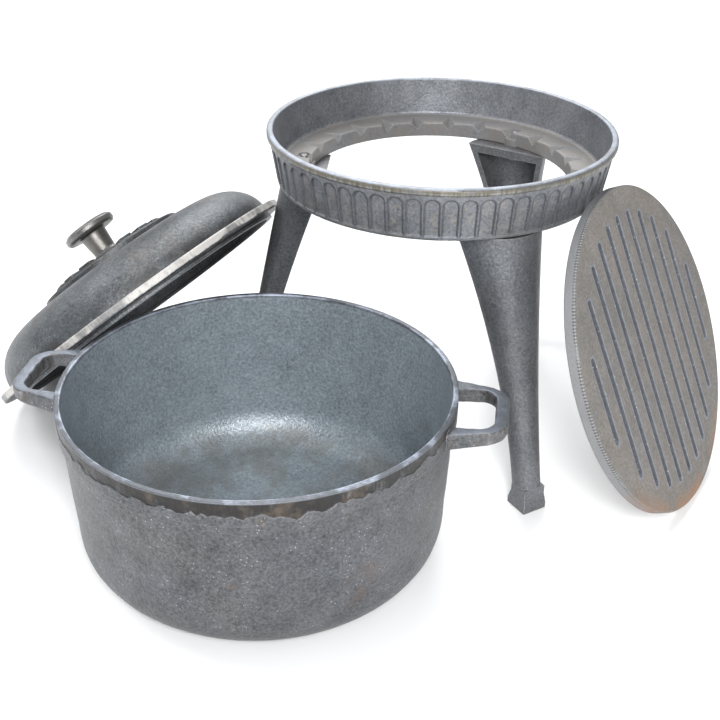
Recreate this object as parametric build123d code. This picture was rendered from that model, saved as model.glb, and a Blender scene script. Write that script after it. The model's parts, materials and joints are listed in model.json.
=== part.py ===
from build123d import *
import os
from math import cos, pi, radians, sin, sqrt

os.makedirs("parts", exist_ok=True)

# Cast-iron cooker set: a three-legged fire ring, its slotted grate, a two-handled pot and its lid.
# Millimetres, +Z up, everything stands on z = 0.

# Pot
pot_radius = 140.0
pot_height = 134.5
pot_wall = 4.2
pot_floor = 5.5
pot_band_height = 18.0
pot_band_step = 2.2
pot_draft = 6.0
pot_base_round = 33.0
pot_floor_draft = 7.0
pot_handle_angle = -8.0
handle_reach = 35.0
handle_root_width = 78.0
handle_end_width = 52.0
handle_corner = 17.0
handle_drop = 5.6
handle_root_depth = 14.0
handle_end_depth = 10.0
handle_bar = 9.5
handle_hole_width = 50.0
handle_hole_corner = 12.0
handle_hole_gap = 2.5
handle_overlap = 12.0

# Fire ring
stand_height = 260.0
ring_radius = 137.5
ring_bottom_radius = 129.5
ring_depth = 42.0
ring_wall = 3.8
bead_height = 4.5
bead_step = 1.3
flange_depth = 31.0
flange_thick = 6.0
lip_radius = 104.0
lip_thick = 4.5
lip_drop = 1.4
flute_count = 64
flute_share = 0.82
flute_cut = 1.2
flute_top = 9.0
flute_bottom = 4.0
notch_count = 24
notch_size = 8.2
notch_slope = 21.0
notch_length = 34.0

# Legs
bolt_circle = 111.0
bolt_angles = {"front": 294.5, "back": 50.5, "left": 170.5}
leg_swivel = {"front": 6.0, "back": 9.0, "left": 6.0}
leg_top_width = 70.0
leg_top_inner = 92.0
leg_top_setback = 1.5
leg_plate = 8.0
leg_shell = 5.0
ankle_height = 20.0
ankle_width = 19.0
ankle_depth = 17.0
ankle_outer = 169.0
foot_size = 21.0
foot_block = 5.0
foot_flare = 8.0
cavity_end = 0.3
leg_width_curve = 1.9
leg_depth_curve = 1.7
leg_levels = (0, 0.2, 0.4, 0.6, 0.8, 1)
cavity_levels = (0, 0.33, 0.66, 1)

# Fasteners
thread = 6.0
hole_clearance = 0.3
head_flats = 10.0
head_height = 4.0
washer_diameter = 12.5
washer_thick = 1.6
bolt_recess = 1.5
bolt_recess_diameter = 9.0
boss_diameter = 18.0
head_chamfer = 0.6

# Grate
grate_thick = 9.2
grate_clearance = 0.5
grate_margin = 19.5
slot_count = 11
slot_pitch = 20.4
slot_width = 6.4
slot_twist = -2.0
grate_tilt = 65.2
grate_direction = -31.2

# Lid
lid_overhang = 3.5
lid_edge = 6.4
lid_skirt = 4.0
lid_clearance = 3.0
lid_wall = 5.0
flange_width = 11.0
dome_height = 35.0
shoulder = 42.0
crown_rise = 1.5
crown_steps = ((67.0, 7.0), (58.0, 8.5), (38.0, 10.0))
crown_step_round = 1.2
crown_bar_count = 16
crown_bar_length = 11.0
crown_bar_width = 12.0
crown_bar_height = 2.6
crown_bar_round = 1.0
lid_boss_diameter = 35.0
lid_boss_height = 48.0
lid_boss_draft = 2.0
lid_tilt = 42.2
lid_direction = 153.2

# Knob
knob_diameter = 47.0
knob_disc = 8.5
knob_neck_top = 24.0
knob_neck_bottom = 20.0
knob_height = 28.5
screw_grip = 14.0

# Layout
pot_beside = -132.3
lid_beside = 8.1
rest_gap = 0.3
pot_lid_gap = 1.2
slide_steps = 40
slide_end = 0.01


def turned(corners):
    """Solid of revolution from (radius, height, corner rounding) triples."""
    face = make_face(Plane.XZ * Polyline([(r, z) for r, z, _ in corners], close=True)).face()
    for r, z, rounding in corners:
        if rounding:
            corner = face.vertices().sort_by_distance((r, 0, z))[0]
            face = face.fillet_2d(rounding, [corner])
    return revolve(face, Axis.Z).solid()


def around(count, item, start=0.0):
    return [Rot(0, 0, start + i * 360 / count) * item for i in range(count)]


def wall_radius(depth):
    """Outer radius of the fire ring's sloping wall at a depth below its rim."""
    top = ring_radius - bead_step
    return top - (top - ring_bottom_radius) * depth / ring_depth


flange_bottom = stand_height - flange_depth - flange_thick
lip_bottom = stand_height - ring_depth - lip_drop


def bare_ring():
    top = stand_height
    low = top - ring_depth
    flange = top - flange_depth
    return turned([
        (ring_radius - ring_wall - bead_step, top, 1.2),
        (ring_radius, top, 1.8),
        (ring_radius, top - bead_height, 0.5),
        (wall_radius(bead_height), top - bead_height - bead_step, 0.5),
        (ring_bottom_radius, low, 3.0),
        (ring_bottom_radius - ring_wall, low, 1.0),
        (wall_radius(flange_depth + flange_thick) - ring_wall, flange_bottom, 2.0),
        (lip_radius + lip_thick, flange_bottom, 2.0),
        (lip_radius + lip_thick, lip_bottom, 1.0),
        (lip_radius, lip_bottom, 1.0),
        (lip_radius, flange, 1.5),
        (wall_radius(flange_depth) - ring_wall, flange, 3.0),
    ])


def flute_cutter():
    slope = (ring_radius - bead_step - ring_bottom_radius) / ring_depth
    width = flute_share * 2 * pi * ring_bottom_radius / flute_count
    length = (ring_depth - flute_top - flute_bottom) * sqrt(1 + slope ** 2)
    shape = Pos(0, -width / 4) * Rectangle(width, length - width / 2)
    shape += Pos(0, length / 2 - width / 2) * Circle(width / 2)
    middle = (flute_top + ring_depth - flute_bottom) / 2
    out = Plane(
        origin=(wall_radius(middle) - flute_cut, 0, stand_height - middle),
        x_dir=(0, 1, 0),
        z_dir=(1, 0, -slope),
    )
    return extrude(out * shape, amount=5 * flute_cut)


def notch_cutter():
    bar = Rot(45, 0, 0) * Box(notch_length, notch_size, notch_size)
    return Pos(lip_radius, 0, stand_height - flange_depth) * Rot(0, -notch_slope, 0) * bar


def at_bolts(item):
    return [Rot(0, 0, angle) * Pos(bolt_circle, 0, 0) * item for angle in bolt_angles.values()]


def fire_ring():
    boss = Pos(0, 0, (flange_bottom + lip_bottom) / 2) * Cylinder(
        boss_diameter / 2, flange_bottom - lip_bottom)
    hole = Pos(0, 0, flange_bottom) * Cylinder(thread / 2 + hole_clearance, 2 * ring_depth)
    recess = Pos(0, 0, stand_height - flange_depth) * Cylinder(
        bolt_recess_diameter / 2, 2 * bolt_recess)
    ring = bare_ring() + at_bolts(boss)
    ring -= around(flute_count, flute_cutter())
    ring -= around(notch_count, notch_cutter(), 180 / notch_count)
    return ring - at_bolts(hole) - at_bolts(recess)


def leg_share(z):
    return (z - ankle_height) / (lip_bottom - ankle_height)


def leg_section(z, inset=0.0, reach=0.0):
    """D-shaped outline of a leg at height z: flat toward the ring's axis, round outside."""
    share = leg_share(z)
    half = ankle_width / 2 + (leg_top_width - ankle_width) / 2 * share ** leg_width_curve
    top_outer = ring_bottom_radius - leg_top_setback
    outer = ankle_outer + (top_outer - ankle_outer) * share
    depth = ankle_depth + (top_outer - leg_top_inner - ankle_depth) * share ** leg_depth_curve
    inner = outer - depth
    half -= inset
    arc = ThreePointArc((inner, -half), (outer - inset, 0), (inner, half))
    corners = [(inner, half), (inner, -half)]
    if reach:
        corners[1:1] = [(inner - reach, half), (inner - reach, -half)]
    return Pos(0, 0, z) * make_face(Curve() + [arc, Polyline(corners)]).face()


def leg_blank():
    heights = [ankle_height + (lip_bottom - ankle_height) * s for s in leg_levels]
    stem = loft([leg_section(z) for z in heights])
    low = ankle_height + (lip_bottom - ankle_height) * cavity_end
    top = lip_bottom - leg_plate
    levels = [low + (top - low) * s for s in cavity_levels]
    hollow = loft([leg_section(z, leg_shell, ankle_width) for z in levels])
    middle = ankle_outer - ankle_depth / 2
    foot = Pos(middle, 0, foot_block / 2) * Box(foot_size, foot_size, foot_block)
    flare = loft([
        Pos(middle, 0, foot_block) * Rectangle(foot_size, foot_size).face(),
        Pos(middle, 0, foot_block + foot_flare) * Rectangle(ankle_depth, ankle_width).face(),
    ])
    neck_height = ankle_height - foot_block - foot_flare
    neck = Pos(middle, 0, ankle_height - neck_height / 2) * Box(
        ankle_depth, ankle_width, neck_height)
    hole = Pos(bolt_circle, 0, lip_bottom) * Cylinder(thread / 2 + hole_clearance, 4 * leg_plate)
    return (stem - hollow + foot + flare + neck) - hole


def placed_leg(blank, name):
    turn = Pos(bolt_circle, 0, 0) * Rot(0, 0, leg_swivel[name]) * Pos(-bolt_circle, 0, 0)
    return Rot(0, 0, bolt_angles[name]) * turn * blank


def leg_bolt():
    under = lip_bottom - leg_plate - washer_thick
    top = stand_height - flange_depth - bolt_recess / 3
    head = extrude(RegularPolygon(head_flats / 2, 6, major_radius=False), amount=-head_height)
    head = chamfer(head.faces().sort_by(Axis.Z)[0].edges(), head_chamfer)
    shank = extrude(Circle(thread / 2), amount=top - under)
    tip = shank.faces().sort_by(Axis.Z)[-1]
    return Pos(0, 0, under) * (head + chamfer(tip.edges(), head_chamfer))


def leg_washer():
    ring = Circle(washer_diameter / 2) - Circle(thread / 2 + hole_clearance)
    return Pos(0, 0, lip_bottom - leg_plate) * extrude(ring, amount=-washer_thick)


def at_bolt(item, name):
    return Rot(0, 0, bolt_angles[name]) * Pos(bolt_circle, 0, 0) * item


def pot_handle():
    root = pot_radius - handle_overlap
    end = pot_radius + handle_reach
    plan = make_face(Polyline([
        (root, -handle_root_width / 2),
        (end, -handle_end_width / 2),
        (end, handle_end_width / 2),
        (root, handle_root_width / 2),
    ], close=True))
    plan = fillet(plan.vertices().group_by(Axis.X)[-1], handle_corner)
    inner = pot_radius + handle_hole_gap
    outer = end - handle_bar
    hole = Pos((inner + outer) / 2, 0) * Rectangle(outer - inner, handle_hole_width)
    hole = fillet(hole.vertices().group_by(Axis.X)[-1], handle_hole_corner)
    top = pot_height - handle_drop
    side = Plane.XZ * make_face(Polyline([
        (root, top),
        (end, top),
        (end, top - handle_end_depth),
        (root, top - handle_root_depth),
    ], close=True))
    slab = extrude(Pos(0, 0, top - 2 * handle_root_depth) * plan, amount=3 * handle_root_depth)
    bar = extrude(side, amount=handle_root_width, both=True)
    return (slab & bar) - extrude(Pos(0, 0, top) * hole, amount=2 * handle_root_depth, both=True)


def pot():
    step = pot_radius - pot_band_step
    under = pot_height - pot_band_height
    inner = pot_radius - pot_wall
    floor_radius = inner - pot_floor_draft
    outside = turned([
        (0, 0, 0),
        (step - pot_draft, 0, pot_base_round),
        (step, under - 1.5, 1.0),
        (pot_radius, under, 0.6),
        (pot_radius, pot_height, 0.8),
        (0, pot_height, 0),
    ])
    inside = turned([
        (0, pot_floor, 0),
        (floor_radius, pot_floor, pot_base_round - pot_wall),
        (inner, pot_height + 1, 0),
        (0, pot_height + 1, 0),
    ])
    handles = [Rot(0, 0, pot_handle_angle + turn) * pot_handle() for turn in (0, 180)]
    return outside + handles - inside


lid_radius = pot_radius + lid_overhang
dome_radius = lid_radius - flange_width
skirt_radius = pot_radius - pot_wall - lid_clearance
lid_ceiling = dome_height - lid_wall


def dome(radius, run, rise, crown, low):
    """Domed solid: near-flat crown falling through an elliptical shoulder to the given radius."""
    edge = radius - run
    shape = Curve() + [
        EllipticalCenterArc((edge, 0), run, rise, start_angle=0, arc_size=90),
        Polyline((edge, rise), (0, rise + crown), (0, low), (radius, low), (radius, 0)),
    ]
    return revolve(Plane.XZ * make_face(shape), Axis.Z)


def crown_step(radius, height):
    step = Pos(0, 0, (dome_height + height) / 2) * Cylinder(radius, dome_height + height)
    return fillet(step.faces().sort_by(Axis.Z)[-1].edges(), crown_step_round)


def crown_bar():
    """A raised block between the middle crown step's edge and the inner one's."""
    _, (outer, low), (inner, _) = crown_steps
    height = low + crown_bar_height
    bar = Box(crown_bar_length, crown_bar_width, dome_height + height)
    bar = Pos((inner + outer) / 2, 0, (dome_height + height) / 2) * bar
    return fillet(bar.faces().sort_by(Axis.Z)[-1].edges(), crown_bar_round)


def lid():
    rim = turned([
        (0, -lid_edge, 0),
        (lid_radius, -lid_edge, 0.8),
        (lid_radius, 0, 1.0),
        (0, 0, 0),
    ])
    skirt = Pos(0, 0, -lid_edge - lid_skirt / 2) * Cylinder(skirt_radius, lid_skirt)
    body = dome(dome_radius, shoulder, dome_height, crown_rise, -lid_edge) + rim + skirt
    body += [crown_step(radius, height) for radius, height in crown_steps]
    body += around(crown_bar_count, crown_bar())
    body += Pos(0, 0, lid_boss_height / 2) * Cone(
        lid_boss_diameter / 2 + lid_boss_draft, lid_boss_diameter / 2, lid_boss_height)
    inner_radius = skirt_radius - lid_wall
    body -= dome(inner_radius, shoulder - lid_wall, lid_ceiling, 0, -lid_edge - 2 * lid_skirt)
    return body - Cylinder(thread / 2 + hole_clearance, 4 * lid_boss_height)


def knob():
    disc = knob_height - knob_disc
    body = turned([
        (0, 0, 0),
        (knob_neck_bottom / 2 + 1.5, 0, 0.6),
        (knob_neck_bottom / 2, 3.0, 0.8),
        (knob_neck_top / 2, disc, 1.5),
        (knob_diameter / 2 - 1.0, disc, 0.8),
        (knob_diameter / 2, disc + knob_disc / 2, 1.0),
        (knob_diameter / 2 - 1.0, knob_height, 1.0),
        (0, knob_height, 0),
    ])
    return Pos(0, 0, lid_boss_height) * (body - Cylinder(thread / 2 + hole_clearance, 2 * screw_grip))


def knob_washer():
    ring = Circle(washer_diameter / 2) - Circle(thread / 2 + hole_clearance)
    return Pos(0, 0, lid_ceiling) * extrude(ring, amount=-washer_thick)


def knob_screw():
    under = lid_ceiling - washer_thick
    head = extrude(RegularPolygon(head_flats / 2, 6, major_radius=False), amount=-head_height)
    head = chamfer(head.faces().sort_by(Axis.Z)[0].edges(), head_chamfer)
    shank = extrude(Circle(thread / 2), amount=lid_boss_height + screw_grip - 1 - under)
    return Pos(0, 0, under) * (head + shank)


grate_radius = wall_radius(flange_depth) - ring_wall - grate_clearance


def grate():
    reach = grate_radius - grate_margin
    plate = Pos(0, 0, -grate_thick / 2) * Cylinder(grate_radius, grate_thick)
    plate = chamfer(plate.edges().filter_by(GeomType.CIRCLE), 0.8)
    slots = []
    for i in range(slot_count):
        y = (i - (slot_count - 1) / 2) * slot_pitch
        length = 2 * sqrt(reach ** 2 - y ** 2)
        slot = Pos(0, y) * SlotOverall(length, slot_width)
        slots.append(extrude(Pos(0, 0, -2 * grate_thick) * slot, amount=3 * grate_thick))
    return Rot(0, 0, slot_twist) * (plate - slots)


def leaned(tilt, direction, radius, thick):
    """Places a disc facing up so that it leans back, its face toward the direction, edge on the ground."""
    height = radius * sin(radians(tilt)) + thick * cos(radians(tilt))
    return Pos(0, 0, height) * Rot(0, 0, direction) * Rot(0, tilt, 0) * Rot(0, 0, 180)


def step_to(move, piece, target, way, gap_left=rest_gap):
    """Slides a piece along a way until only the given gap to its target is left."""
    travel = 0.0
    for _ in range(slide_steps):
        gap = (Pos(way * travel) * move * piece).distance_to(target) - gap_left
        travel += gap
        if gap < slide_end:
            break
    return Pos(way * travel) * move


def way_along(angle):
    return Vector(cos(radians(angle)), sin(radians(angle)), 0)


def stand():
    blank = leg_blank()
    nodes = {"fire_ring": fire_ring()}
    for name in bolt_angles:
        nodes["leg_" + name] = placed_leg(blank, name)
        nodes["leg_bolt_" + name] = at_bolt(leg_bolt(), name)
        nodes["leg_washer_" + name] = at_bolt(leg_washer(), name)
    return nodes


def leaned_grate():
    outward = way_along(grate_direction)
    far = Pos(outward * 2.5 * ring_radius) * leaned(
        grate_tilt, grate_direction, grate_radius, grate_thick)
    disc = Pos(0, 0, -grate_thick / 2) * Cylinder(grate_radius, grate_thick)
    return step_to(far, disc, bare_ring(), -outward) * grate()


def lid_place(leg):
    edge = Pos(0, 0, -lid_edge / 2) * Cylinder(lid_radius, lid_edge)
    far = Pos(-2.5 * (lid_radius + ring_radius), lid_beside, 0) * leaned(
        lid_tilt, lid_direction, lid_radius, lid_edge)
    return step_to(far, edge, Compound([bare_ring(), leg]), Vector(1, 0, 0))


def build():
    nodes = stand()
    nodes["grate"] = leaned_grate()
    rest = lid_place(nodes["leg_left"])
    nodes["lid"] = rest * lid()
    nodes["knob"] = rest * knob()
    nodes["knob_washer"] = rest * knob_washer()
    nodes["knob_screw"] = rest * knob_screw()
    around_pot = Compound([bare_ring(), nodes["leg_left"], nodes["leg_front"], nodes["lid"]])
    far = Pos(pot_beside, -2.5 * (pot_radius + ring_radius), 0)
    body = pot()
    nodes["pot"] = step_to(far, body, around_pot, Vector(0, 1, 0), pot_lid_gap) * body
    return nodes


nodes = build()
box = Compound(children=[Compound(item.solids()) for item in nodes.values()]).bounding_box()
centre = Pos(-box.center().X, -box.center().Y, 0)
for name, item in nodes.items():
    solid = (centre * item).solids()
    export_step(solid[0] if len(solid) == 1 else Compound(solid), "parts/" + name + ".step")
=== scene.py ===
import json
from math import cos, radians, sin

import bmesh
import bpy
import numpy as np
from mathutils import Matrix, Vector


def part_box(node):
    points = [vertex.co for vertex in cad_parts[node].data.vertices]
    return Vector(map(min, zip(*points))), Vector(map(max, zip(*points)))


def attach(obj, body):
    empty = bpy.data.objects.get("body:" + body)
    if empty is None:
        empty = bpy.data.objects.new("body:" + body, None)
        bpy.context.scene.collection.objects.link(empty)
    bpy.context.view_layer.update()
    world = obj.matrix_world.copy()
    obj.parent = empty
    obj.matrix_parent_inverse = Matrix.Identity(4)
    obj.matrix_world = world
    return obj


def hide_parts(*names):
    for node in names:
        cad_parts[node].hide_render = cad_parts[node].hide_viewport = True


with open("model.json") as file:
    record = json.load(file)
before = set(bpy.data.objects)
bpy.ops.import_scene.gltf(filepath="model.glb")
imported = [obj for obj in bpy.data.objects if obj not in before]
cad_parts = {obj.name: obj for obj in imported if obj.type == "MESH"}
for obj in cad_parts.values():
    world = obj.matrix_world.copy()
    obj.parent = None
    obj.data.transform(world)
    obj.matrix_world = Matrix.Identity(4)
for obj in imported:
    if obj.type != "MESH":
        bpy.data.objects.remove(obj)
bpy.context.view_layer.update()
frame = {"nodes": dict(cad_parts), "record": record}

scene = bpy.context.scene


def middle(node):
    low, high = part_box(node)
    return (low + high) / 2


potMiddle = middle("pot")
ringMiddle = middle("fire_ring")
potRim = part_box("pot")[1].z
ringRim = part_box("fire_ring")[1].z
print("frame loaded")


# Camera, floor and light

cameraSettings = {
    "fromPot": (0.070616, -0.672364),  # metres beside and in front of the pot's middle
    "height": 0.54082,
    "tilt": 29.96,  # degrees down
    "roll": 0.75,
    "lens": 56.145,
    "sensor": 36,
}


def addCamera(settings):
    data = bpy.data.cameras.new("camera")
    data.lens = settings["lens"]
    data.sensor_width = settings["sensor"]
    camera = bpy.data.objects.new("camera", data)
    beside, inFront = settings["fromPot"]
    place = Vector((potMiddle.x + beside, potMiddle.y + inFront, settings["height"]))
    camera.matrix_world = (
        Matrix.Translation(place)
        @ Matrix.Rotation(radians(90 - settings["tilt"]), 4, "X")
        @ Matrix.Rotation(radians(settings["roll"]), 4, "Z")
    )
    scene.collection.objects.link(camera)
    scene.camera = camera


worldSettings = {"colour": (0.93, 0.96, 1.0, 1), "strength": 0.45}

lightSettings = {
    # name: place, aimed at, size, power
    "overhead": ((-0.3, 0.3, 2.0), (0.0, 0.0, 0.1), 1.2, 13),
    "frontSoft": ((0.1, -1.3, 1.0), (0.0, 0.05, 0.12), 0.5, 26),
    "leftEdge": ((-1.6, 0.5, 1.3), (-0.1, 0.0, 0.1), 0.8, 12),
    "farFloor": ((0.0, 4.2, 3.6), (0.0, 3.4, 0.0), 3.5, 235),
}


def addLights(settings):
    for name, (place, target, size, power) in settings.items():
        data = bpy.data.lights.new(name, "AREA")
        data.shape = "DISK"
        data.size = size
        data.energy = power
        light = bpy.data.objects.new(name, data)
        light.location = place
        light.rotation_euler = (Vector(target) - Vector(place)).to_track_quat("-Z", "Y").to_euler()
        scene.collection.objects.link(light)


def addWorld(settings):
    world = bpy.data.worlds.new("studio")
    world.use_nodes = True
    background = world.node_tree.nodes["Background"]
    background.inputs["Color"].default_value = settings["colour"]
    background.inputs["Strength"].default_value = settings["strength"]
    scene.world = world
    scene.view_settings.view_transform = "Standard"


floorSettings = {"size": 30.0, "drop": 0.0004, "tone": (0.9, 0.9, 0.9, 1), "rough": 0.8}


def addFloor(settings):
    mesh = bpy.data.meshes.new("floor")
    half, z = settings["size"] / 2, -settings["drop"]
    mesh.from_pydata(
        [(-half, -half, z), (half, -half, z), (half, half, z), (-half, half, z)], [], [(0, 1, 2, 3)]
    )
    floor = bpy.data.objects.new("floor", mesh)
    scene.collection.objects.link(floor)
    material = bpy.data.materials.new("paleFloor")
    material.use_nodes = True
    shader = material.node_tree.nodes["Principled BSDF"]
    shader.inputs["Base Color"].default_value = settings["tone"]
    shader.inputs["Roughness"].default_value = settings["rough"]
    mesh.materials.append(material)


addCamera(cameraSettings)
addLights(lightSettings)
addWorld(worldSettings)
addFloor(floorSettings)
print("stage set")


# Node helpers


class nodeTree:
    # Short calls for wiring a node tree: a value that is a socket is linked, anything else is set.
    def __init__(self, tree):
        self.tree = tree

    def feed(self, socket, value):
        if isinstance(value, bpy.types.NodeSocket):
            self.tree.links.new(value, socket)
        elif value is not None:
            socket.default_value = value

    def math(self, operation, a, b=None):
        node = self.tree.nodes.new("ShaderNodeMath")
        node.operation = operation
        for socket, value in zip(node.inputs, (a, b)):
            self.feed(socket, value)
        return node.outputs[0]

    def times(self, a, b):
        return self.math("MULTIPLY", a, b)

    def plus(self, a, b):
        return self.math("ADD", a, b)

    def minus(self, a, b):
        return self.math("SUBTRACT", a, b)

    def ramp(self, value, low, high, toLow=0.0, toHigh=1.0):
        # Smooth step: toLow below low, toHigh above high.
        node = self.tree.nodes.new("ShaderNodeMapRange")
        node.interpolation_type = "SMOOTHSTEP"
        for name, item in (
            ("Value", value),
            ("From Min", low),
            ("From Max", high),
            ("To Min", toLow),
            ("To Max", toHigh),
        ):
            self.feed(node.inputs[name], item)
        return node.outputs["Result"]

    def noise(self, vector, scale, detail=2.0, rough=0.5, warp=0.0):
        node = self.tree.nodes.new("ShaderNodeTexNoise")
        self.feed(node.inputs["Vector"], vector)
        self.feed(node.inputs["Scale"], scale)
        self.feed(node.inputs["Detail"], detail)
        self.feed(node.inputs["Roughness"], rough)
        self.feed(node.inputs["Distortion"], warp)
        return node.outputs["Fac"]

    def cells(self, vector, scale):
        node = self.tree.nodes.new("ShaderNodeTexVoronoi")
        self.feed(node.inputs["Vector"], vector)
        self.feed(node.inputs["Scale"], scale)
        return node.outputs["Distance"]

    def mapped(self, vector, place=(0, 0, 0), size=(1, 1, 1)):
        # Takes place away first, then stretches.
        moved = self.tree.nodes.new("ShaderNodeVectorMath")
        moved.operation = "SUBTRACT"
        self.feed(moved.inputs[0], vector)
        moved.inputs[1].default_value = place
        node = self.tree.nodes.new("ShaderNodeMapping")
        self.feed(node.inputs["Vector"], moved.outputs[0])
        node.inputs["Scale"].default_value = size
        return node.outputs["Vector"]

    def parts(self, vector):
        node = self.tree.nodes.new("ShaderNodeSeparateXYZ")
        self.feed(node.inputs[0], vector)
        return node.outputs

    def joined(self, x, y, z):
        node = self.tree.nodes.new("ShaderNodeCombineXYZ")
        for socket, value in zip(node.inputs, (x, y, z)):
            self.feed(socket, value)
        return node.outputs[0]

    def blend(self, share, a, b):
        # Colour a where share is 0, b where it is 1.
        node = self.tree.nodes.new("ShaderNodeMix")
        node.data_type = "RGBA"
        self.feed(node.inputs["Factor"], share)
        self.feed(node.inputs["A"], a)
        self.feed(node.inputs["B"], b)
        return node.outputs["Result"]

    def mixed(self, share, a, b):
        node = self.tree.nodes.new("ShaderNodeMix")
        self.feed(node.inputs["Factor"], share)
        self.feed(node.inputs["A"], a)
        self.feed(node.inputs["B"], b)
        return node.outputs["Result"]

    def group(self, tree, **values):
        node = self.tree.nodes.new("ShaderNodeGroup")
        node.node_tree = tree
        for name, value in values.items():
            self.feed(node.inputs[name], value)
        return node.outputs


def newGroup(name, inputs, outputs):
    tree = bpy.data.node_groups.new(name, "ShaderNodeTree")
    kinds = {"vector": "NodeSocketVector", "value": "NodeSocketFloat"}
    for label, kind in inputs:
        tree.interface.new_socket(label, in_out="INPUT", socket_type=kinds[kind])
    for label, kind in outputs:
        tree.interface.new_socket(label, in_out="OUTPUT", socket_type=kinds[kind])
    given = tree.nodes.new("NodeGroupInput").outputs
    return nodeTree(tree), given, tree.nodes.new("NodeGroupOutput").inputs


# Effects that the irons share

bevelSamples = 4
rubbedWidth = 0.0011  # metres


def castGrainGroup():
    # Sand-cast skin: fine grit, pits, pale specks and slow clouds.
    t, given, out = newGroup(
        "castGrain",
        [("Where", "vector"), ("Grit", "value"), ("Cloud", "value"), ("Specks", "value")],
        [("Tone", "value"), ("Specks", "value"), ("Height", "value"), ("Cloud", "value")],
    )
    where = given["Where"]
    grit = t.noise(where, given["Grit"], 3.0, 0.62)
    fine = t.noise(where, t.times(given["Grit"], 3.1), 1.0, 0.5)
    cloud = t.noise(where, given["Cloud"], 4.0, 0.6, 0.3)
    blot = t.noise(where, t.times(given["Cloud"], 4.3), 3.0, 0.6)
    speckle = t.cells(where, t.times(given["Grit"], 0.75))
    patchy = t.ramp(blot, 0.42, 0.62)
    specks = t.times(t.ramp(speckle, 0.05, 0.2, 1.0, 0.0), patchy)
    t.feed(out["Specks"], t.times(specks, given["Specks"]))
    tone = t.plus(t.times(t.minus(grit, 0.5), 1.15), t.times(t.minus(cloud, 0.5), 0.75))
    tone = t.plus(tone, t.times(t.minus(blot, 0.5), 0.5))
    tone = t.plus(tone, t.times(t.minus(fine, 0.5), 0.6))
    t.feed(out["Tone"], t.plus(tone, 1.0))
    dents = t.plus(t.times(cloud, 2.2), t.times(blot, 1.1))
    t.feed(out["Height"], t.plus(t.plus(grit, t.times(fine, 0.35)), dents))
    t.feed(out["Cloud"], cloud)
    return t.tree


def fileMarksGroup():
    # Ground or filed metal: short strokes along the Where vector's z, light and dark side by side.
    t, given, out = newGroup(
        "fileMarks",
        [("Where", "vector"), ("Strokes", "value")],
        [("Shine", "value")],
    )
    stretched = t.mapped(given["Where"], size=(1, 1, 0.12))
    stroke = t.noise(stretched, given["Strokes"], 2.0, 0.55)
    broken = t.noise(given["Where"], t.times(given["Strokes"], 0.25), 3.0, 0.6)
    t.feed(out["Shine"], t.times(t.ramp(stroke, 0.34, 0.66), t.ramp(broken, 0.3, 0.62, 0.35, 1.0)))
    return t.tree


def dustGroup():
    # Settled dust and light rust: a mask that is strongest on faces that look up, and patchy.
    t, given, out = newGroup(
        "dust",
        [("Where", "vector"), ("Size", "value"), ("Upward", "value")],
        [("Dust", "value"), ("Rust", "value")],
    )
    geometry = t.tree.nodes.new("ShaderNodeNewGeometry")
    up = t.parts(geometry.outputs["Normal"])[2]
    patch = t.noise(given["Where"], given["Size"], 5.0, 0.62, 0.4)
    spots = t.noise(given["Where"], t.times(given["Size"], 2.7), 4.0, 0.6)
    facing = t.mixed(given["Upward"], 1.0, t.ramp(up, 0.2, 0.95))
    t.feed(out["Dust"], t.times(t.ramp(patch, 0.36, 0.66), facing))
    t.feed(out["Rust"], t.times(t.ramp(spots, 0.6, 0.74), t.ramp(patch, 0.45, 0.62)))
    return t.tree


def edgeWearGroup():
    # Bright rubbed edges: where a small bevel would turn the surface.
    t, given, out = newGroup(
        "edgeWear",
        [("Where", "vector"), ("Amount", "value")],
        [("Edge", "value")],
    )
    bevel = t.tree.nodes.new("ShaderNodeBevel")
    bevel.samples = bevelSamples
    bevel.inputs["Radius"].default_value = rubbedWidth
    geometry = t.tree.nodes.new("ShaderNodeNewGeometry")
    turn = t.tree.nodes.new("ShaderNodeVectorMath")
    turn.operation = "DOT_PRODUCT"
    t.feed(turn.inputs[0], bevel.outputs["Normal"])
    t.feed(turn.inputs[1], geometry.outputs["Normal"])
    ragged = t.noise(given["Where"], 160.0, 3.0, 0.6)
    bent = t.ramp(turn.outputs["Value"], 0.86, 0.985, 1.0, 0.0)
    t.feed(out["Edge"], t.times(t.times(bent, t.ramp(ragged, 0.3, 0.55, 0.3, 1.0)), given["Amount"]))
    return t.tree


castGrain = castGrainGroup()
fileMarks = fileMarksGroup()
dust = dustGroup()
edgeWear = edgeWearGroup()
print("shared effects built")


def newMaterial(name):
    material = bpy.data.materials.new(name)
    material.use_nodes = True
    t = nodeTree(material.node_tree)
    shader = material.node_tree.nodes["Principled BSDF"]
    where = material.node_tree.nodes.new("ShaderNodeTexCoord").outputs["Object"]
    return material, t, shader, where


def bump(t, shader, height, strength, distance, over):
    node = t.tree.nodes.new("ShaderNodeBump")
    node.inputs["Strength"].default_value = strength
    node.inputs["Distance"].default_value = distance
    t.feed(node.inputs["Height"], height)
    t.feed(node.inputs["Normal"], over)
    t.feed(shader.inputs["Normal"], node.outputs["Normal"])


def tinted(t, colour, tone):
    # The colour times a tone that is 1 on average.
    node = t.tree.nodes.new("ShaderNodeVectorMath")
    node.operation = "SCALE"
    node.inputs[0].default_value = colour[:3]
    t.feed(node.inputs["Scale"], tone)
    return node.outputs[0]


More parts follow.
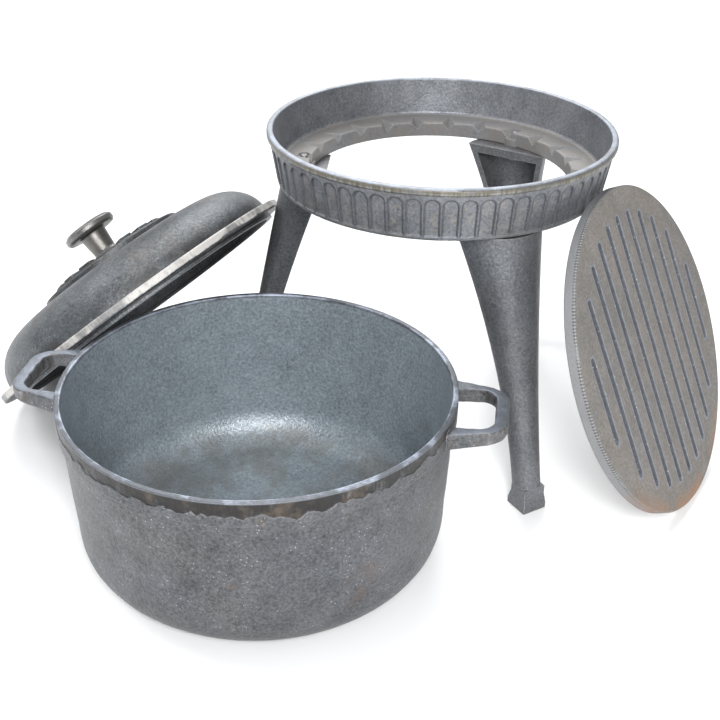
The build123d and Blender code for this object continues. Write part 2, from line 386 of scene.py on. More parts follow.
def castIron(name, look, regions=None):
    # A cast-iron material. regions may lay ground or stained places over the skin, and takes and
    # gives back its colour, roughness, height and metal.
    material, t, shader, where = newMaterial(name)
    skin = t.group(
        castGrain, Where=where, Grit=look["grit"], Cloud=look["cloud"], Specks=look["specks"]
    )
    powder = t.group(dust, Where=where, Size=look["dustSize"], Upward=look["dustUpward"])
    worn = t.group(edgeWear, Where=where, Amount=look["wear"])
    tone = t.plus(t.times(t.minus(skin["Tone"], 1.0), look["contrast"]), 1.0)
    colour = tinted(t, look["iron"], tone)
    colour = t.blend(
        t.times(powder["Dust"], look["dustAmount"]), colour, tinted(t, look["dust"], skin["Tone"])
    )
    colour = t.blend(t.times(powder["Rust"], look["rustAmount"]), colour, look["rust"] + (1,))
    colour = t.blend(skin["Specks"], colour, look["speck"] + (1,))
    rough = t.plus(look["rough"], t.times(t.minus(skin["Cloud"], 0.5), 0.3))
    rough = t.plus(rough, t.times(powder["Dust"], 0.18 * look["dustAmount"]))
    height = skin["Height"]
    metal = look["metal"]
    if regions:
        colour, rough, height, metal = regions(t, where, colour, rough, height, metal)
    colour = t.blend(worn["Edge"], colour, look["bare"] + (1,))
    rough = t.mixed(worn["Edge"], rough, 0.3)
    t.feed(shader.inputs["Base Color"], colour)
    t.feed(shader.inputs["Roughness"], rough)
    t.feed(shader.inputs["Metallic"], metal)
    shader.inputs["Specular IOR Level"].default_value = look["gloss"]
    soft = t.tree.nodes.new("ShaderNodeBevel")  # cast corners are never quite sharp
    soft.samples = bevelSamples
    soft.inputs["Radius"].default_value = look["corner"]
    bump(t, shader, height, look["bumpStrength"], look["bumpDepth"], soft.outputs["Normal"])
    return material


ironLook = {
    "iron": (0.15, 0.157, 0.168),
    "dust": (0.235, 0.21, 0.185),
    "rust": (0.2, 0.115, 0.065),
    "speck": (0.5, 0.51, 0.54),
    "bare": (0.62, 0.64, 0.68),
    "contrast": 1.7,
    "grit": 480.0,
    "cloud": 14.0,
    "specks": 0.8,
    "dustSize": 26.0,
    "dustUpward": 0.7,
    "dustAmount": 0.35,
    "rustAmount": 0.35,
    "wear": 0.5,
    "corner": 0.0012,
    "rough": 0.44,
    "metal": 0.55,
    "gloss": 0.5,
    "bumpStrength": 0.75,
    "bumpDepth": 0.0006,
}


def look(**changes):
    return {**ironLook, **changes}


def radial(t, where, centre):
    # Distance from an upright axis through centre, angle round it, and height.
    x, y, z = t.parts(t.mapped(where, place=tuple(centre)))
    across = t.math("SQRT", t.plus(t.times(x, x), t.times(y, y)))
    return across, t.math("ARCTAN2", y, x), z


def near(t, where, place, far, full):
    # 1 within full of a place, fading to 0 at far
    x, y, z = t.parts(t.mapped(where, place=place))
    square = t.plus(t.plus(t.times(x, x), t.times(y, y)), t.times(z, z))
    return t.ramp(t.math("SQRT", square), full, far, 1.0, 0.0)


def inwardFacing(t, where, centre, across):
    # 1 on faces turned toward an upright axis or straight up, 0 on outward ones.
    x, y, _ = t.parts(t.mapped(where, place=tuple(centre)))
    geometry = t.tree.nodes.new("ShaderNodeNewGeometry")
    nx, ny, nz = t.parts(geometry.outputs["Normal"])
    out = t.plus(t.times(x, nx), t.times(y, ny))
    out = t.math("DIVIDE", out, t.math("MAXIMUM", across, 0.001))
    return t.ramp(t.minus(out, t.times(nz, 0.6)), -0.12, -0.3)


# Pot

potGround = {
    "radius": 0.1391,  # outside the wall's smooth face
    "dark": (0.02, 0.018, 0.017, 1),
    "brown": (0.085, 0.066, 0.048, 1),
    # the rim's ground patches together with its painted highlight
    "groundAndHighlight": (0.36, 0.4, 0.48, 1),
    "rim": (0.1, 0.108, 0.122, 1),
    "stroke": (0.36, 0.37, 0.39, 1),
    "handleTop": (0.2, 0.225, 0.265, 1),
    # lighter bluish inside colour: painted light standing in for light reaching into the pot
    "inside": (0.31, 0.36, 0.395),
    "tea": (0.13, 0.112, 0.09, 1),
    "rust": (0.15, 0.085, 0.05, 1),
    "spot": (potMiddle.x + 0.075, potMiddle.y - 0.111, 0.05),
    "spotSize": (0.022, 0.003),
    "strokeRadius": 0.14,
    "dripFall": (-0.05, -0.02),  # each pair is where a mask begins and where it is full
    "rimHeight": (-0.0022, -0.0006),
    "rimInner": (0.1335, 0.1345),
    "rimOuter": (0.1415, 0.1405),
    # where the rim's painted highlight grows toward its inner edge
    "rimHighlight": (0.1375, 0.136),
    "handleFrom": (0.1405, 0.1425),
    "handleTopFacing": (0.55, 0.85),
    "handleSide": (0.158, 0.166),
    "insideWall": (0.1372, 0.1364),
    "insideTop": (-0.001, -0.003),
    "insideFloor": (-0.112, -0.124),
}


def potRegions(t, where, colour, rough, height, metal):
    s = potGround
    centre = (potMiddle.x, potMiddle.y, potRim)
    across, angle, z = radial(t, where, centre)
    strokes = t.group(
        fileMarks, Where=t.joined(t.times(angle, s["strokeRadius"]), 0.0, z), Strokes=420.0
    )
    ragged = t.noise(where, 55.0, 4.0, 0.6)
    patch = t.noise(where, 30.0, 4.0, 0.65)
    # the ground band, mostly toward the front, is marked on the mesh
    ground = t.tree.nodes.new("ShaderNodeAttribute")
    ground.attribute_name = "ground"
    ground = ground.outputs["Fac"]
    bandColour = t.blend(t.ramp(patch, 0.5, 0.66), s["dark"], s["brown"])
    bandColour = t.blend(
        t.times(strokes["Shine"], t.ramp(ragged, 0.52, 0.74, 0.02, 0.5)), bandColour, s["stroke"]
    )
    colour = t.blend(t.times(ground, 0.95), colour, bandColour)
    rough = t.mixed(ground, rough, 0.38)
    # a few drips of the same dark stain run down from the band
    run = t.noise(t.joined(t.times(angle, s["strokeRadius"]), 0.0, t.times(z, 0.25)), 60.0, 2.0, 0.5)
    drip = t.times(t.ramp(run, 0.66, 0.74), t.ramp(z, *s["dripFall"]))
    drip = t.times(drip, t.ramp(across, s["radius"] - 0.006, s["radius"] - 0.003))
    colour = t.blend(t.times(drip, 0.6), colour, s["dark"])
    # one rusty patch low on the front's right
    spot = t.times(near(t, where, s["spot"], *s["spotSize"]), t.ramp(ragged, 0.44, 0.64))
    colour = t.blend(t.times(spot, 0.6), colour, s["rust"])
    # the rim is ground and bluish, with a painted highlight that is brightest toward its inner edge
    rim = t.times(t.ramp(z, *s["rimHeight"]), t.ramp(across, *s["rimInner"]))
    rim = t.times(rim, t.ramp(across, *s["rimOuter"]))
    highlightShare = t.plus(ragged, t.times(t.ramp(across, *s["rimHighlight"]), 0.16))
    rimToneWithHighlight = t.blend(t.ramp(highlightShare, 0.5, 0.74), s["rim"], s["groundAndHighlight"])
    colour = t.blend(rim, colour, rimToneWithHighlight)
    rough = t.mixed(rim, rough, 0.42)
    metal = t.mixed(rim, metal, 0.45)
    # handles: bluish ground tops, brown filed sides
    geometry = t.tree.nodes.new("ShaderNodeNewGeometry")
    facing = t.parts(geometry.outputs["Normal"])[2]
    handle = t.ramp(across, *s["handleFrom"])
    topShare = t.times(handle, t.ramp(facing, *s["handleTopFacing"]))
    colour = t.blend(t.times(topShare, t.ramp(ragged, 0.35, 0.6, 0.4, 0.9)), colour, s["handleTop"])
    outer = t.times(t.ramp(across, *s["handleSide"]), t.ramp(t.math("ABSOLUTE", facing), 0.6, 0.3))
    colour = t.blend(
        t.times(outer, t.ramp(patch, 0.4, 0.6, 0.3, 0.9)),
        colour,
        t.blend(strokes["Shine"], s["brown"], s["stroke"]),
    )
    # the inside is smoother and a little blue, and painted lighter than the outside: painted light
    # standing in for light reaching into the pot
    inside = t.times(t.ramp(across, *s["insideWall"]), t.ramp(z, *s["insideTop"]))
    inside = t.times(inside, inwardFacing(t, where, centre, across))
    floor = t.times(inside, t.ramp(z, *s["insideFloor"]))
    fine = t.noise(where, 480.0, 3.0, 0.68)
    slow = t.plus(t.times(patch, 0.35), t.times(ragged, 0.35))
    litInsideTone = tinted(t, s["inside"], t.plus(t.minus(t.times(fine, 1.7), 0.2), slow))
    colour = t.blend(t.times(inside, 0.72), colour, litInsideTone)
    colour = t.blend(t.times(floor, t.ramp(patch, 0.4, 0.62, 0.0, 0.5)), colour, s["tea"])
    rough = t.minus(rough, t.times(inside, 0.1))
    metal = t.mixed(inside, metal, 0.35)
    return colour, rough, height, metal


# Fire ring

ringGround = {
    "bead": 0.0058,  # lower end of the bead, below the rim
    "top": 0.0007,
    "brown": (0.13, 0.115, 0.08, 1),
    "stroke": (0.36, 0.36, 0.35, 1),
    # painted shade for the grooves round the flutes
    "grooveShade": (0.05, 0.052, 0.06, 1),
    "pitch": 0.0129,  # one flute's share of the wall
    "archMiddle": -0.0143,
    "halfFlute": 0.0053,
    "panel": (0.3, 0.275, 0.24, 1),
    # painted highlight on the bead's top, patchy like ground metal
    "groundAndHighlight": (0.3, 0.33, 0.38, 1),
    "outer": 0.1285,
    "strokeRadius": 0.137,
    "fluteCount": 64,
    "lowHalf": (-0.0026, -0.0036),  # each pair is where a mask begins and where it is full
    "beadInner": (0.1305, 0.1315),
    "fluteTop": (-0.0075, -0.009),
    "fluteFoot": (-0.0385, -0.037),
    "fluteFace": (0.126, 0.1275),
    "grooveEdge": (0.0012, 0.0004),
    "flangeEdge": (0.1275, 0.126),
    "flange": 0.031,
    "dust": (0.185, 0.17, 0.155, 1),
}


def ringRegions(t, where, colour, rough, height, metal):
    s = ringGround
    centre = (ringMiddle.x, ringMiddle.y, ringRim)
    across, angle, z = radial(t, where, centre)
    strokes = t.group(
        fileMarks, Where=t.joined(t.times(angle, s["strokeRadius"]), 0.0, z), Strokes=380.0
    )
    ragged = t.noise(where, 60.0, 4.0, 0.6)
    outward = t.minus(1.0, inwardFacing(t, where, centre, across))
    outside = t.times(outward, t.ramp(across, s["outer"] - 0.001, s["outer"] - 0.0002))
    # the bead's side is filed: brown above, light strokes below
    band = t.times(
        t.times(t.ramp(z, -s["bead"] - 0.0004, -s["bead"]), t.ramp(z, -s["top"], -s["top"] - 0.0006)),
        outside,
    )
    lowHalf = t.ramp(z, *s["lowHalf"])
    bandColour = t.blend(
        t.times(strokes["Shine"], t.mixed(lowHalf, 0.35, 1.0)), s["brown"], s["stroke"]
    )
    colour = t.blend(t.times(band, t.ramp(ragged, 0.34, 0.52, 0.5, 0.95)), colour, bandColour)
    # painted highlight: only the rim's top is painted bright and bluish, as if lit from above
    bead = t.times(t.ramp(z, -s["top"] - 0.0004, -s["top"] + 0.0002), t.ramp(across, *s["beadInner"]))
    colour = t.blend(t.times(bead, t.ramp(ragged, 0.36, 0.6, 0.35, 0.9)), colour, s["groundAndHighlight"])
    rough = t.mixed(bead, rough, 0.42)
    metal = t.mixed(bead, metal, 0.45)
    # painted shade: soft dark lines in the grooves round the flutes; dusty panels inside them
    flutes = t.times(outside, t.ramp(z, *s["fluteTop"]))
    turn = t.times(angle, s["fluteCount"] / (2 * np.pi))
    aside = t.math("ABSOLUTE", t.minus(turn, t.math("ROUND", turn)))
    flutes = t.times(flutes, t.ramp(across, *s["fluteFace"]))
    panel = t.times(
        t.times(flutes, t.ramp(aside, 0.4, 0.3)), t.ramp(t.noise(where, 130.0, 4.0, 0.7), 0.5, 0.68)
    )
    colour = t.blend(t.times(panel, 0.7), colour, s["panel"])
    sideways = t.times(aside, s["pitch"])
    above = t.math("MAXIMUM", t.minus(z, s["archMiddle"]), 0.0)
    reach = t.math("SQRT", t.plus(t.times(sideways, sideways), t.times(above, above)))
    off = t.math("ABSOLUTE", t.minus(reach, s["halfFlute"]))
    grooveShade = t.times(t.times(flutes, t.ramp(off, *s["grooveEdge"])), t.ramp(z, *s["fluteFoot"]))
    colour = t.blend(t.times(grooveShade, 0.62), colour, s["grooveShade"])
    onFlange = t.times(
        t.ramp(z, -s["flange"] + 0.004, -s["flange"] + 0.001), t.ramp(across, *s["flangeEdge"])
    )
    colour = t.blend(t.times(onFlange, t.ramp(ragged, 0.34, 0.6, 0.25, 0.8)), colour, s["dust"])
    metal = t.mixed(onFlange, metal, 0.15)
    height = t.mixed(outward, t.times(height, 0.5), height)
    return colour, rough, height, metal


# Lid, in its own leaning frame


def axesOf(joint):
    # A leaning disc's own axes: across on the level, up its slope, and out along its face.
    joints = {row["name"]: row for row in frame["record"]["behaviour"]["joints"]}
    out = Vector(joints[joint]["axis"]).normalized()
    level = Vector((0, 0, 1)).cross(out).normalized()
    return level, out.cross(level), out


def leaningFrame(node, joint):
    # Centre of a leaning disc's back face, and its axes, from the node's own points.
    mesh = frame["nodes"][node].data
    points = np.empty(len(mesh.vertices) * 3, np.float32)
    mesh.vertices.foreach_get("co", points)
    points = points.reshape(-1, 3)
    axes = axesOf(joint)
    spans = [(points @ np.array(axis)) for axis in axes]
    place = sum(
        (axis * float((span.min() + span.max()) / 2) for axis, span in zip(axes[:2], spans[:2])),
        Vector(),
    )
    return place + axes[2] * float(spans[2].min()), axes


lidBase, lidAxes = leaningFrame("lid", "lid_lift")
grateBase, grateAxes = leaningFrame("grate", "grate_lift")


def leaning(t, where, base, axes):
    # The same point along a leaning disc's level, slope and outward axes.
    moved = t.mapped(where, place=tuple(base))
    out = []
    for axis in axes:
        node = t.tree.nodes.new("ShaderNodeVectorMath")
        node.operation = "DOT_PRODUCT"
        t.feed(node.inputs[0], moved)
        node.inputs[1].default_value = tuple(axis)
        out.append(node.outputs["Value"])
    level, slope, height = out
    across = t.math("SQRT", t.plus(t.times(level, level), t.times(slope, slope)))
    return level, slope, height, across


lidGround = {
    "under": 0.004,  # the flange's lower face above the skirt's lower edge
    "radius": 0.1425,
    # painted highlight on the flange's ground edge
    "creamHighlight": (0.52, 0.5, 0.475, 1),
    "grey": (0.23, 0.225, 0.22, 1),
    # near-black: painted shade under the flange, round the dome's foot and inside the dome; also darker
    # patches on the crown
    "darkShade": (0.03, 0.028, 0.027, 1),
    "strokeRadius": 0.143,
    "wobble": 0.006,
    "footInner": (0.1305, 0.1325),  # each pair is where a mask begins and where it is full
    "footOuter": (0.137, 0.1335),
    "footHeight": (0.009, 0.0104),
    "hollowSide": (0.129, 0.1275),
    "hollowTop": (0.0402, 0.0396),
    "hollowRadius": 0.1278,
    "hollowSlope": 1.3,
    "hollowEdge": (0.012, 0.006),
    "crownSide": (0.078, 0.066),
    "crownHeight": (0.044, 0.047),
}


def lidRegions(t, where, colour, rough, height, metal):
    s = lidGround
    level, slope, up, across = leaning(t, where, lidBase, lidAxes)
    angle = t.math("ARCTAN2", slope, level)
    strokes = t.group(
        fileMarks, Where=t.joined(t.times(angle, s["strokeRadius"]), 0.0, up), Strokes=330.0
    )
    ragged = t.noise(where, 40.0, 4.0, 0.6)
    wobble = t.times(t.minus(ragged, 0.5), s["wobble"])
    # the flange's edge is ground metal, grey with cream patches; the cream is a painted highlight
    rim = t.times(
        t.ramp(across, s["radius"] - 0.0012, s["radius"] - 0.0004),
        t.ramp(t.plus(up, wobble), s["under"] + 0.0006, s["under"] + 0.0014),
    )
    highlightShare = t.plus(t.times(strokes["Shine"], 0.12), ragged)
    tone = t.blend(t.ramp(highlightShare, 0.4, 0.62), s["grey"], s["creamHighlight"])
    colour = t.blend(t.times(rim, 0.95), colour, tone)
    metal = t.mixed(rim, metal, 0.15)
    # painted shade: near-black in the corner under the flange and round the foot of the dome
    corner = t.times(
        t.ramp(up, s["under"] + 0.0002, s["under"] - 0.0006),
        t.ramp(up, s["under"] - 0.0022, s["under"] - 0.0012),
    )
    foot = t.times(t.ramp(across, *s["footInner"]), t.ramp(across, *s["footOuter"]))
    foot = t.times(foot, t.ramp(ragged, 0.4, 0.6, 0.2, 0.9))
    dark = t.math("MAXIMUM", corner, t.times(foot, t.ramp(up, *s["footHeight"])))
    colour = t.blend(t.times(dark, 0.8), colour, s["darkShade"])
    # painted shade: inside the dome is darkened
    inner = t.times(t.ramp(across, *s["hollowSide"]), t.ramp(up, *s["hollowTop"]))
    below = t.minus(up, t.times(t.minus(s["hollowRadius"], across), s["hollowSlope"]))
    hollow = t.times(inner, t.ramp(below, *s["hollowEdge"]))
    colour = t.blend(t.times(hollow, 0.5), colour, s["darkShade"])
    # darker patches round the raised steps on the crown
    crown = t.times(t.ramp(across, *s["crownSide"]), t.ramp(up, *s["crownHeight"]))
    colour = t.blend(t.times(crown, t.ramp(ragged, 0.38, 0.6, 0.25, 0.75)), colour, s["darkShade"])
    return colour, rough, height, metal


# Grate

grateGround = {
    "pitch": 0.0204,
    "width": 0.0032,  # half a slot
    "reach": 0.1075,
    "twist": 2.0,  # degrees the slots are turned in the plate
    "slot": (0.19, 0.2, 0.222, 1),
    "speck": (0.62, 0.64, 0.68, 1),
    "tick": (0.05, 0.042, 0.035, 1),
    "rust": (0.33, 0.17, 0.08, 1),
    "edge": (0.24, 0.25, 0.265, 1),
    "radius": 0.1268,
    "wobble": 0.0042,
    "slotEdge": (0.0017, 0.0009),  # each pair is where a mask begins and where it is full
    "slotEnd": (0.0016, 0.0004),
    "speckSize": (0.1, 0.24),
    "tickWaves": 330.0,
    "tickInset": (0.0014, 0.0008),
    "tickHeight": (0.0062, 0.0074),
    "rustSlope": (-0.06, -0.1),
    "rustInset": (0.014, 0.002),
}


def grateRegions(t, where, colour, rough, height, metal):
    s = grateGround
    level, slope, up, across = leaning(t, where, grateBase, grateAxes)
    turn = radians(s["twist"])
    along = t.plus(t.times(slope, cos(turn)), t.times(level, sin(turn)))
    aside = t.minus(t.times(level, cos(turn)), t.times(slope, sin(turn)))
    row = t.math("ROUND", t.math("DIVIDE", aside, s["pitch"]))
    rowPlace = t.times(row, s["pitch"])
    off = t.math("ABSOLUTE", t.minus(aside, rowPlace))
    end = t.math("SQRT", t.math("MAXIMUM", t.minus(s["reach"] ** 2, t.times(rowPlace, rowPlace)), 0.0))
    past = t.minus(t.math("ABSOLUTE", along), end)
    wobble = t.times(t.minus(t.noise(where, 210.0, 3.0, 0.6), 0.5), s["wobble"])
    start, full = (s["width"] + edge for edge in s["slotEdge"])
    slot = t.times(
        t.ramp(t.plus(off, wobble), start, full), t.ramp(t.plus(past, wobble), *s["slotEnd"])
    )
    colour = t.blend(
        slot, colour, tinted(t, s["slot"][:3], t.plus(0.45, t.noise(where, 420.0, 3.0, 0.6)))
    )
    speck = t.times(
        t.ramp(t.cells(where, 330.0), *s["speckSize"], 1.0, 0.0),
        t.ramp(t.noise(where, 90.0, 2.0), 0.48, 0.6),
    )
    colour = t.blend(t.times(speck, slot), colour, s["speck"])
    rough = t.mixed(slot, rough, 0.38)
    metal = t.mixed(slot, metal, 0.5)
    # the rim is ground, with a row of dark ticks left at its corner
    rim = t.ramp(across, s["radius"] - 0.0006, s["radius"])
    colour = t.blend(t.times(rim, 0.7), colour, s["edge"])
    angle = t.math("ARCTAN2", slope, level)
    wave = t.math("SINE", t.times(angle, s["tickWaves"]))
    corner = t.times(
        t.ramp(across, *(s["radius"] - inset for inset in s["tickInset"])), t.ramp(up, *s["tickHeight"])
    )
    patchy = t.noise(where, 16.0, 3.0, 0.55)
    ticks = t.times(t.times(corner, t.ramp(wave, -0.1, 0.4)), t.ramp(patchy, 0.42, 0.52))
    colour = t.blend(t.times(ticks, 0.9), colour, s["tick"])
    low = t.times(
        t.ramp(slope, *s["rustSlope"]),
        t.ramp(across, *(s["radius"] - inset for inset in s["rustInset"])),
    )
    colour = t.blend(t.times(low, t.ramp(patchy, 0.4, 0.58, 0.0, 0.75)), colour, s["rust"])
    return colour, rough, height, metal


potIron = castIron(
    "potIron", look(iron=(0.1, 0.104, 0.112), specks=1.0, rustAmount=0.35, dustAmount=0.3), potRegions
)
ringIron = castIron(
    "ringIron",
    look(
        contrast=1.2,
        iron=(0.18, 0.189, 0.205),
        specks=0.6,
        dustAmount=0.4,
        dustSize=20.0,
        rustAmount=0.12,
        wear=0.2,
    ),
    ringRegions,
)
legIron = castIron(
    "legIron",
    look(
        contrast=1.3,
        iron=(0.14, 0.146, 0.157),
        specks=0.6,
        dustAmount=0.25,
        cloud=10.0,
        rustAmount=0.12,
    ),
)
lidIron = castIron("lidIron", look(specks=0.7, dustAmount=0.2, iron=(0.098, 0.107, 0.116)), lidRegions)
grateIron = castIron(
    "grateIron",
    look(
        contrast=1.1,
        iron=(0.18, 0.168, 0.155),
        dustAmount=0.8,
        dustUpward=0.0,
        dustSize=14.0,
        specks=0.3,
        dust=(0.19, 0.17, 0.15),
        rustAmount=0.2,
        metal=0.1,
        rough=0.55,
    ),
    grateRegions,
)
knobIron = castIron(
    "knobIron",
    look(
        contrast=1.0,
        iron=(0.2, 0.202, 0.205),
        dust=(0.12, 0.098, 0.066),
        dustAmount=0.4,
        dustUpward=0.0,
        grit=1300.0,
        rough=0.3,
        metal=0.85,
        specks=0.15,
        bumpStrength=0.3,
        wear=0.7,
    ),
)
boltSteel = castIron(
    "boltSteel",
    look(
        contrast=1.0,
        iron=(0.22, 0.22, 0.23),
        grit=1800.0,
        rough=0.35,
        metal=0.8,
        specks=0.15,
        bumpStrength=0.3,
    ),
)

bySlot = {
    "pot_iron": potIron,
    "ring_iron": ringIron,
    "leg_iron": legIron,
    "lid_iron": lidIron,
    "grate_iron": grateIron,
    "knob_iron": knobIron,
    "fastener_steel": boltSteel,
}


def dress(slots):
    for row in frame["record"]["subparts"]:
        node = frame["nodes"][row["node"]]
        node.data.materials.clear()
        node.data.materials.append(slots[row["material_slot"]])


dress(bySlot)
print("irons laid on")


# Shapes worked out on a grid, in millimetres

perMetre = 1000


def roundedLine(corners, steps=10):
    # Points along straight runs whose corners (x, y, rounding) are arcs tangent to both runs.
    corners = np.array(corners, float)
    line = [corners[0, :2]]
    for before, here, after in zip(corners, corners[1:], corners[2:]):
        a = (before[:2] - here[:2]) / np.linalg.norm(before[:2] - here[:2])
        b = (after[:2] - here[:2]) / np.linalg.norm(after[:2] - here[:2])
        half = np.arccos(np.clip(a @ b, -1, 1)) / 2
        if here[2] <= 0 or half > 1.55:
            line.append(here[:2])
            continue
        centre = here[:2] + (a + b) / np.linalg.norm(a + b) * here[2] / np.sin(half)
        first, last = (here[:2] + way * here[2] / np.tan(half) - centre for way in (a, b))
        share = np.linspace(0, 1, steps)[:, None]
        arc = first * (1 - share) + last * share
        line.extend(centre + arc / np.linalg.norm(arc, axis=1)[:, None] * here[2])
    line.append(corners[-1, :2])
    return np.array(line)


def spaced(line, count):
    # The same line with its points at equal distances.
    run = np.r_[0, np.cumsum(np.linalg.norm(np.diff(line, axis=0), axis=1))]
    at = np.linspace(0, run[-1], count)
    return np.column_stack([np.interp(at, run, line[:, k]) for k in range(line.shape[1])])


def denser(line, gap):
    # The same line with its own corners kept and no two points further apart than the gap.
    run = np.r_[0, np.cumsum(np.linalg.norm(np.diff(line, axis=0), axis=1))]
    counts = np.maximum(np.ceil(np.diff(run) / gap).astype(int), 1)
    at = np.r_[
        np.concatenate([np.linspace(a, b, n, endpoint=False) for a, b, n in zip(run, run[1:], counts)]),
        run[-1],
    ]
    return np.column_stack([np.interp(at, run, line[:, k]) for k in range(line.shape[1])])


def unevenness(a, b, seed, waves=26, finest=14):
    # Slow casting waves, about -1 to 1: a sum of sines over two parameters with random directions.
    rng = np.random.default_rng(seed)
    total = np.zeros(np.broadcast(a, b).shape)
    for across, up, phase in zip(
        rng.integers(1, finest, waves), rng.normal(0, finest / 2, waves), rng.uniform(0, 6.3, waves)
    ):
        total = total + np.sin(across * a + up * b + phase)
    return total / np.sqrt(waves)


def gridFaces(rows, columns, start=0, wrapRows=True, wrapColumns=False):
    # Quads of a grid whose points are numbered row by row.
    i = np.arange(rows if wrapRows else rows - 1)[:, None]
    j = np.arange(columns if wrapColumns else columns - 1)[None, :]
    nextI, nextJ = (i + 1) % rows, (j + 1) % columns
    quads = np.stack(
        [i * columns + j, nextI * columns + j, nextI * columns + nextJ, i * columns + nextJ], -1
    )
    return quads.reshape(-1, 4) + start


def newPiece(name, points, faces, body, material, replaced, marks=None):
    # One mesh from all points and faces; points that coincide are merged, so poles close.
    mesh = bpy.data.meshes.new(name)
    mesh.from_pydata(points.tolist(), [], faces)
    for label, values in (marks or {}).items():
        mesh.attributes.new(label, "FLOAT", "POINT").data.foreach_set(
            "value", values.astype(np.float32)
        )
    work = bmesh.new()
    work.from_mesh(mesh)
    bmesh.ops.remove_doubles(work, verts=work.verts, dist=1e-6)
    work.to_mesh(mesh)
    work.free()
    mesh.polygons.foreach_set("use_smooth", np.ones(len(mesh.polygons), bool))
    mesh.materials.append(material)
    piece = bpy.data.objects.new(name, mesh)
    scene.collection.objects.link(piece)
    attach(piece, body)
    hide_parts(*replaced)


# Pot casting

potShape = {  # millimetres
    "radius": 140.0, "wall": 4.2, "height": 134.5, "floor": 5.5,
    "bandStep": 2.2, "bandHeight": 18.0,
    "draft": 6.0, "floorDraft": 7.0, "baseRound": 33.0, "around": 384,
    "grindDepth": 0.45, "grindLow": 4.5, "grindMore": 6.5,  # how far the ground band reaches down
    "ragged": 1.6, "castWave": 0.28,
    "handleTurn": -8.0, "handleTop": 128.9, "handleRoot": 135.0, "handleEnd": 175.0,
    "rootHalf": 37.06, "endHalf": 26.0, "cornerRound": 17.0,
    "holeEnd": 165.5, "holeHalf": 25.0, "holeRound": 12.0,
    "rootDepth": 13.4, "endDepth": 10.0,
    "inset": 0.1,  # the visible wall inside the solid's own
    "cornerSteps": 14, "profileGap": 3.5, "stripRows": 24, "edgeGap": 0.25,
    "handleSquareness": 5.5, "handleSteps": 90, "bendSteps": 24, "sectionSteps": 36,
}


def joinedRows(before, strip, after):
    # the same profile values beside every row of the strip
    rows = len(strip)
    return np.hstack([np.tile(before, (rows, 1)), strip, np.tile(after, (rows, 1))])


def potBody(s):
    # Profile from the base's middle, up the wall, over the rim and down to the floor's middle,
    # turned round the axis: x = r cos a, y = r sin a. The rim band is ground back above a ragged
    # line z(a).
    step, under = s["radius"] - s["bandStep"], s["height"] - s["bandHeight"]
    inner, face = s["radius"] - s["wall"], s["radius"] - s["inset"]
    line = roundedLine([
        (0, 0, 0),
        (step - s["draft"], 0, s["baseRound"]),
        (step, under - 1.5, 1.0),
        (face, under, 0.6),
        (face, s["height"], 0.9),
        (inner, s["height"], 0.8),
        (inner - s["floorDraft"], s["floor"], s["baseRound"] - s["wall"]),
        (0, s["floor"], 0),
    ], s["cornerSteps"])
    line = denser(line, s["profileGap"])
    onFace, height = line[:, 0] > face - s["inset"], line[:, 1]
    band = onFace & (height > under + 1) & (height < s["height"] - 1.2)
    first = np.flatnonzero(band)[0]
    strip = np.linspace(0, 1, s["stripRows"])
    angle = np.linspace(0, 2 * np.pi, s["around"], endpoint=False)[:, None]
    toFront = np.abs(np.angle(np.exp(1j * (angle + np.pi / 2))))
    ragged = unevenness(angle, 0, 5, finest=60) + 0.6 * unevenness(angle, 0, 6, finest=150)
    width = s["grindLow"] + s["grindMore"] * np.clip(1.15 - toFront / 1.9, 0, 1)
    width = width + s["ragged"] * ragged * np.clip(1.4 - toFront / 2.2, 0.25, 1)
    width = np.clip(width, 0.9, s["bandHeight"] - 3.0)
    low, high = under + 0.9, s["height"] - 1.1
    edge = s["height"] - width
    # rows of the strip: the middle two straddle the ragged line
    share = 0.46  # of the rows, on each side of the line
    beneath, above = edge - s["edgeGap"], edge + s["edgeGap"]
    lower = low + (beneath - low) * strip / share
    upper = above + (high - above) * (strip - 1 + share) / share
    z = np.where(strip < 0.48, lower, upper)
    z = np.clip(z, low, high)
    marks = np.broadcast_to((strip > 0.5).astype(float), z.shape)
    radius = face - s["grindDepth"] * marks * np.clip(1.5 - toFront / 1.7, 0.15, 1)
    left, right = line[:first], line[np.flatnonzero(band)[-1] + 1 :]
    ground = marks * np.clip(1.25 - toFront / 2.0, 0.1, 1)
    r = joinedRows(left[:, 0], radius, right[:, 0])
    h = joinedRows(left[:, 1], z, right[:, 1])
    mark = joinedRows(left[:, 0] * 0, ground, right[:, 0] * 0)
    flat = np.clip(r / 30, 0, 1) * ((h > 0.5) & (h < s["height"] - 0.9))
    r = r - s["castWave"] * flat * (0.55 + 0.5 * unevenness(angle, h / 45 + (r < inner + 0.5), 8))
    points = np.stack([r * np.cos(angle), r * np.sin(angle), h], -1)
    return points, mark


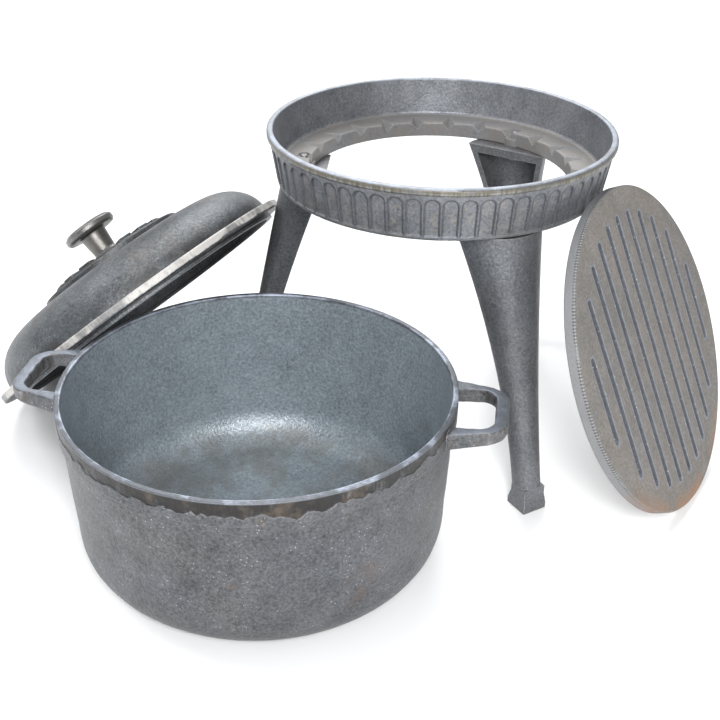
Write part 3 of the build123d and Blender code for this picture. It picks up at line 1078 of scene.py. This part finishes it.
def potHandle(s, turn):
    # A bar between an outer line O(u) and the hole's line I(u): its section is a rounded rectangle,
    # x across = |cos v|^(2/n), z = |sin v|^(2/n) with the signs kept.
    outer = spaced(roundedLine([
        (s["handleRoot"], -s["rootHalf"], 0), (s["handleEnd"], -s["endHalf"], s["cornerRound"]),
        (s["handleEnd"], s["endHalf"], s["cornerRound"]), (s["handleRoot"], s["rootHalf"], 0),
    ], s["bendSteps"]), s["handleSteps"])
    inner = spaced(roundedLine([
        (s["handleRoot"], -s["holeHalf"], 0), (s["holeEnd"], -s["holeHalf"], s["holeRound"]),
        (s["holeEnd"], s["holeHalf"], s["holeRound"]), (s["handleRoot"], s["holeHalf"], 0),
    ], s["bendSteps"]), s["handleSteps"])
    u = np.linspace(0, 1, s["handleSteps"])[:, None]
    v = np.linspace(0, 2 * np.pi, s["sectionSteps"], endpoint=False)[None, :]
    power = 2 / s["handleSquareness"]
    across = np.sign(np.cos(v)) * np.abs(np.cos(v)) ** power
    up = np.sign(np.sin(v)) * np.abs(np.sin(v)) ** power
    middleLine, half = (outer + inner) / 2, (outer - inner) / 2
    share = (middleLine[:, :1] - s["handleRoot"]) / (s["handleEnd"] - s["handleRoot"])
    depth = s["rootDepth"] + (s["endDepth"] - s["rootDepth"]) * share
    swell = 1 + 0.02 * unevenness(u * 6, v, 9) - 0.03
    x = middleLine[:, :1] + half[:, :1] * across * swell
    y = middleLine[:, 1:] + half[:, 1:] * across * swell
    z = s["handleTop"] - depth / 2 + depth / 2 * up * np.minimum(swell, 1)
    c, d = np.cos(turn), np.sin(turn)
    return np.stack([c * x - d * y, d * x + c * y, z], -1)


def addPot(s):
    body, mark = potBody(s)
    turns = [np.radians(s["handleTurn"] + side) for side in (0, 180)]
    parts, faces, marks = [body.reshape(-1, 3)], gridFaces(*body.shape[:2]).tolist(), [mark.ravel()]
    for turn in turns:
        start = sum(len(p) for p in parts)
        handle = potHandle(s, turn)
        steps, ringSteps = handle.shape[:2]
        faces += gridFaces(steps, ringSteps, start, wrapRows=False, wrapColumns=True).tolist()
        faces.append(list(range(start, start + ringSteps)))
        faces.append(
            list(range(start + steps * ringSteps - 1, start + (steps - 1) * ringSteps - 1, -1))
        )
        parts.append(handle.reshape(-1, 3))
        marks.append(np.zeros(steps * ringSteps))
    points = np.concatenate(parts) / perMetre + np.array([potMiddle.x, potMiddle.y, 0])
    newPiece(
        "potCasting",
        points,
        faces,
        "pot",
        potIron,
        ["pot"],
        {"ground": np.concatenate(marks)},
    )


# Knob

knobShape = {  # millimetres
    "foot": 58.4,  # above the lid's lower edge
    "discLow": 20.0, "height": 28.4, "radius": 23.45,
    "neckTop": 12.0, "neckLow": 10.0,
    "tool": 0.07, "feed": 0.9, "profileGap": 0.5, "around": 160,
}


def addKnob(s):
    # Turned profile with fine tool marks, r = profile - depth |sin(pi run / feed)|, round the lid's
    # axis.
    line = roundedLine([
        (0, 0, 0),
        (s["neckLow"] + 1.4, 0, 0.6),
        (s["neckLow"] + 0.1, 2.6, 1.2),
        (s["neckTop"], s["discLow"], 1.6),
        (s["radius"] - 1.6, s["discLow"] + 0.1, 0.8),
        (s["radius"], s["discLow"] + 2.2, 1.6),
        (s["radius"] - 0.1, s["height"] - 2.4, 1.6),
        (s["radius"] - 3.2, s["height"] - 0.1, 1.4),
        (6.5, s["height"] - 0.6, 1.0),
        (5.0, s["height"] - 1.4, 0.6),
        (0, s["height"] - 1.6, 0),
    ], 8)
    line = denser(line, s["profileGap"])
    run = np.r_[0, np.cumsum(np.linalg.norm(np.diff(line, axis=0), axis=1))]
    cut = s["tool"] * np.abs(np.sin(np.pi * run / s["feed"])) * (line[:, 1] > 0.3)
    angle = np.linspace(0, 2 * np.pi, s["around"], endpoint=False)[:, None]
    r = np.maximum(line[:, 0] - cut, 0) * (line[:, 0] > 0) * np.ones_like(angle)
    h = (line[:, 1] - cut * (line[:, 1] > s["height"] - 1)) * np.ones_like(angle)
    local = np.stack([r * np.cos(angle), r * np.sin(angle), h + s["foot"]], -1).reshape(-1, 3)
    points = np.array(lidBase) + local / perMetre @ np.array([list(axis) for axis in lidAxes])
    newPiece(
        "turnedKnob",
        points,
        gridFaces(s["around"], len(line)).tolist(),
        "lid",
        knobIron,
        ["knob"],
    )


addPot(potShape)
print("pot cast")
addKnob(knobShape)
print("knob turned")
